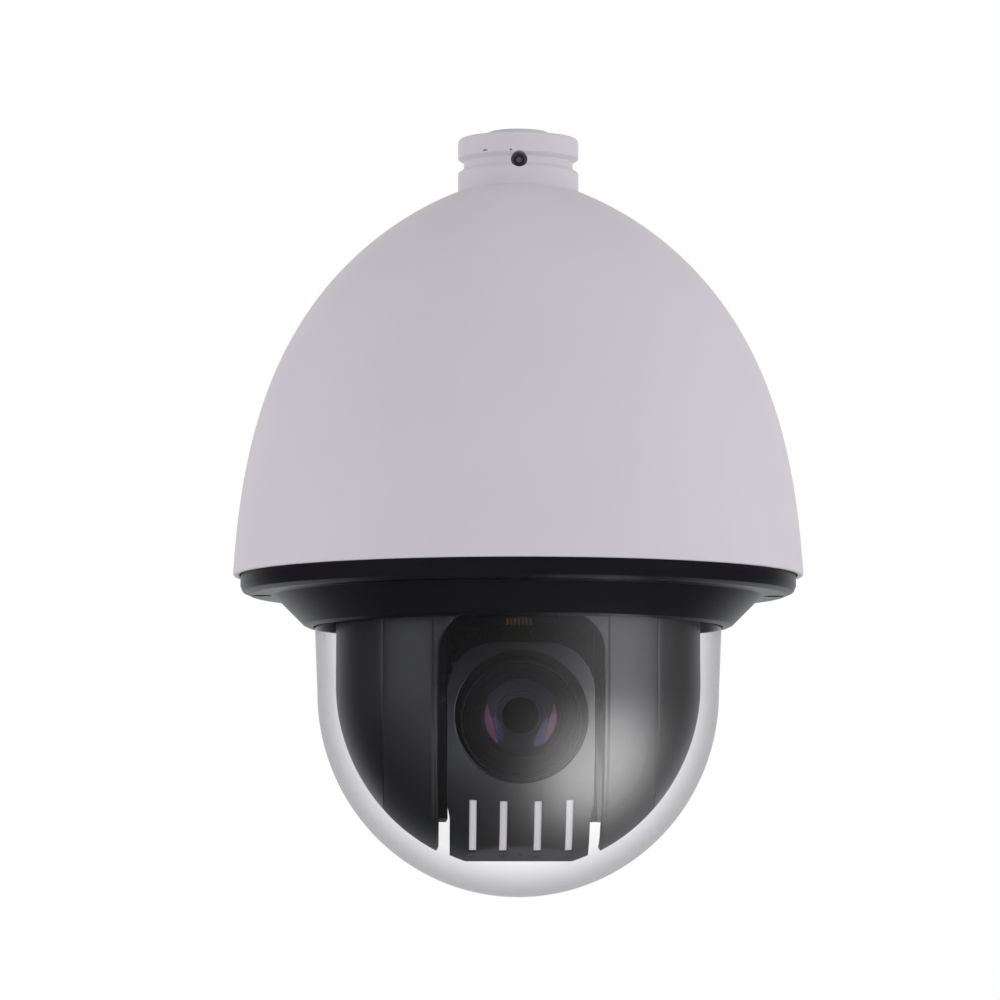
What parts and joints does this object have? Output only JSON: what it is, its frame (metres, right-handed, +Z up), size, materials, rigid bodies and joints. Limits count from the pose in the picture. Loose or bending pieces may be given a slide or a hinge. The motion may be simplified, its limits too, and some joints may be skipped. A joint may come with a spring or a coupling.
{
  "type": "pendant ptz dome camera",
  "caption": "Pendant speed-dome camera: bell-shaped sun shield on a pipe neck, black ring, clear dome, and a motorised pan and tilt zoom camera inside.",
  "frame": {"origin": "on the pan axis at the top face of the mounting neck", "axes": "+Z up along the pan axis; the lens looks along -Y at pan 0; +X is to the right when the camera is seen from the front"},
  "size_m": [0.2212, 0.2212, 0.298],
  "materials": {
    "painted_casting": "satin light grey powder coat",
    "shield_plastic": "satin light grey weatherproof plastic",
    "inlet_rubber": "light grey moulded rubber",
    "housing_aluminium": "as-cast aluminium",
    "ring_black": "satin black powder coat on die-cast aluminium",
    "clear_dome": "clear polished polycarbonate",
    "cover_black": "semi-gloss moulded black plastic",
    "steel": "bright zinc-plated steel",
    "blackened_steel": "black oxide steel",
    "set_screw_steel": "blue-grey passivated steel",
    "seal_rubber": "moulded black rubber",
    "board_green": "solder-masked glass-fibre board",
    "gold_contact": "gold-plated contacts",
    "dark_plastic": "fine-textured black plastic",
    "machined_aluminium": "turned aluminium",
    "zinc_plate": "zinc-plated sheet steel",
    "lens_glass": "multi-coated optical glass"
  },
  "bodies": {
    "housing": {"neck_adapter": "painted_casting", "cable_grommet": "inlet_rubber", "neck_set_screws": "set_screw_steel", "sun_shield": "shield_plastic", "neck_screws": "steel", "inner_housing": "housing_aluminium", "shield_screws": "steel", "housing_gasket": "seal_rubber", "dome_ring": "ring_black", "ring_screws": "blackened_steel", "dome_seal": "seal_rubber", "dome_cover": "clear_dome", "dome_clamp_ring": "steel", "dome_clamp_screws": "steel", "chassis_plate": "machined_aluminium", "chassis_screws": "steel", "slip_ring_stator": "dark_plastic", "pan_bearing_outer": "steel", "pan_bearing_balls": "steel", "pan_motor": "machined_aluminium", "pan_belt": "seal_rubber", "main_board": "board_green", "power_board": "board_green", "board_standoffs": "gold_contact", "heat_sink": "machined_aluminium", "heater": "machined_aluminium", "fan_frame": "dark_plastic"},
    "fan": {"fan_impeller": "dark_plastic"},
    "pan_drive": {"pan_motor_pulley": "machined_aluminium"},
    "pan_unit": {"pan_hub": "machined_aluminium", "pan_bearing_inner": "steel", "pan_pulley": "machined_aluminium", "turntable": "dark_plastic", "slip_ring_rotor": "gold_contact", "yoke_arm_left": "blackened_steel", "yoke_arm_right": "blackened_steel", "pan_cover_front": "cover_black", "pan_cover_rear": "cover_black", "pan_cover_left": "cover_black", "pan_cover_right": "cover_black", "tilt_bearings": "steel", "tilt_motor": "machined_aluminium", "tilt_belt": "seal_rubber", "tilt_board": "board_green"},
    "tilt_drive": {"tilt_motor_pulley": "machined_aluminium"},
    "camera_block": {"tilt_bracket": "zinc_plate", "tilt_shafts": "steel", "tilt_pulley": "machined_aluminium", "tilt_cover_front": "cover_black", "tilt_cover_rear": "cover_black", "vent_plate": "zinc_plate", "camera_body": "dark_plastic", "contact_strip": "gold_contact", "sensor_board": "board_green", "lens_barrel": "dark_plastic", "lens_bezel": "dark_plastic", "front_lens": "lens_glass"},
    "zoom_group": {"zoom_lens_group": "lens_glass"},
    "focus_group": {"focus_lens_group": "lens_glass"},
    "filter_slide": {"ir_cut_filter": "lens_glass"}
  },
  "joints": [
    {"name": "pan", "type": "hinge", "parent": "housing", "child": "pan_unit", "pos_m": [0, 0, -0.156], "axis": [0, 0, 1], "continuous": true},
    {"name": "tilt", "type": "hinge", "parent": "pan_unit", "child": "camera_block", "pos_m": [0, 0, -0.2156], "axis": [1, 0, 0], "range_deg": [-27.5, 77.5]},
    {"name": "fan_spin", "type": "hinge", "parent": "housing", "child": "fan", "pos_m": [0, 0.056, -0.125], "axis": [0, 0, 1], "continuous": true},
    {"name": "pan_motor_spin", "type": "hinge", "parent": "housing", "child": "pan_drive", "pos_m": [-0.06, 0, -0.144], "axis": [0, 0, 1], "continuous": true},
    {"name": "tilt_motor_spin", "type": "hinge", "parent": "pan_unit", "child": "tilt_drive", "pos_m": [-0.0415, 0.008, -0.178], "axis": [1, 0, 0], "range_deg": [-93.6, 263.6]},
    {"name": "zoom", "type": "slide", "parent": "camera_block", "child": "zoom_group", "axis": [0, -0.9763, -0.2164], "range_m": [-0.008, 0.007]},
    {"name": "focus", "type": "slide", "parent": "camera_block", "child": "focus_group", "axis": [0, -0.9763, -0.2164], "range_m": [-0.003, 0.004]},
    {"name": "ir_cut", "type": "slide", "parent": "camera_block", "child": "filter_slide", "axis": [1, 0, 0], "range_m": [-0.012, 0]}
  ],
  "couplings": [
    {"joint": "pan_motor_spin", "follows": "pan", "ratio": 6.6667},
    {"joint": "tilt_motor_spin", "follows": "tilt", "ratio": 3.4}
  ]
}
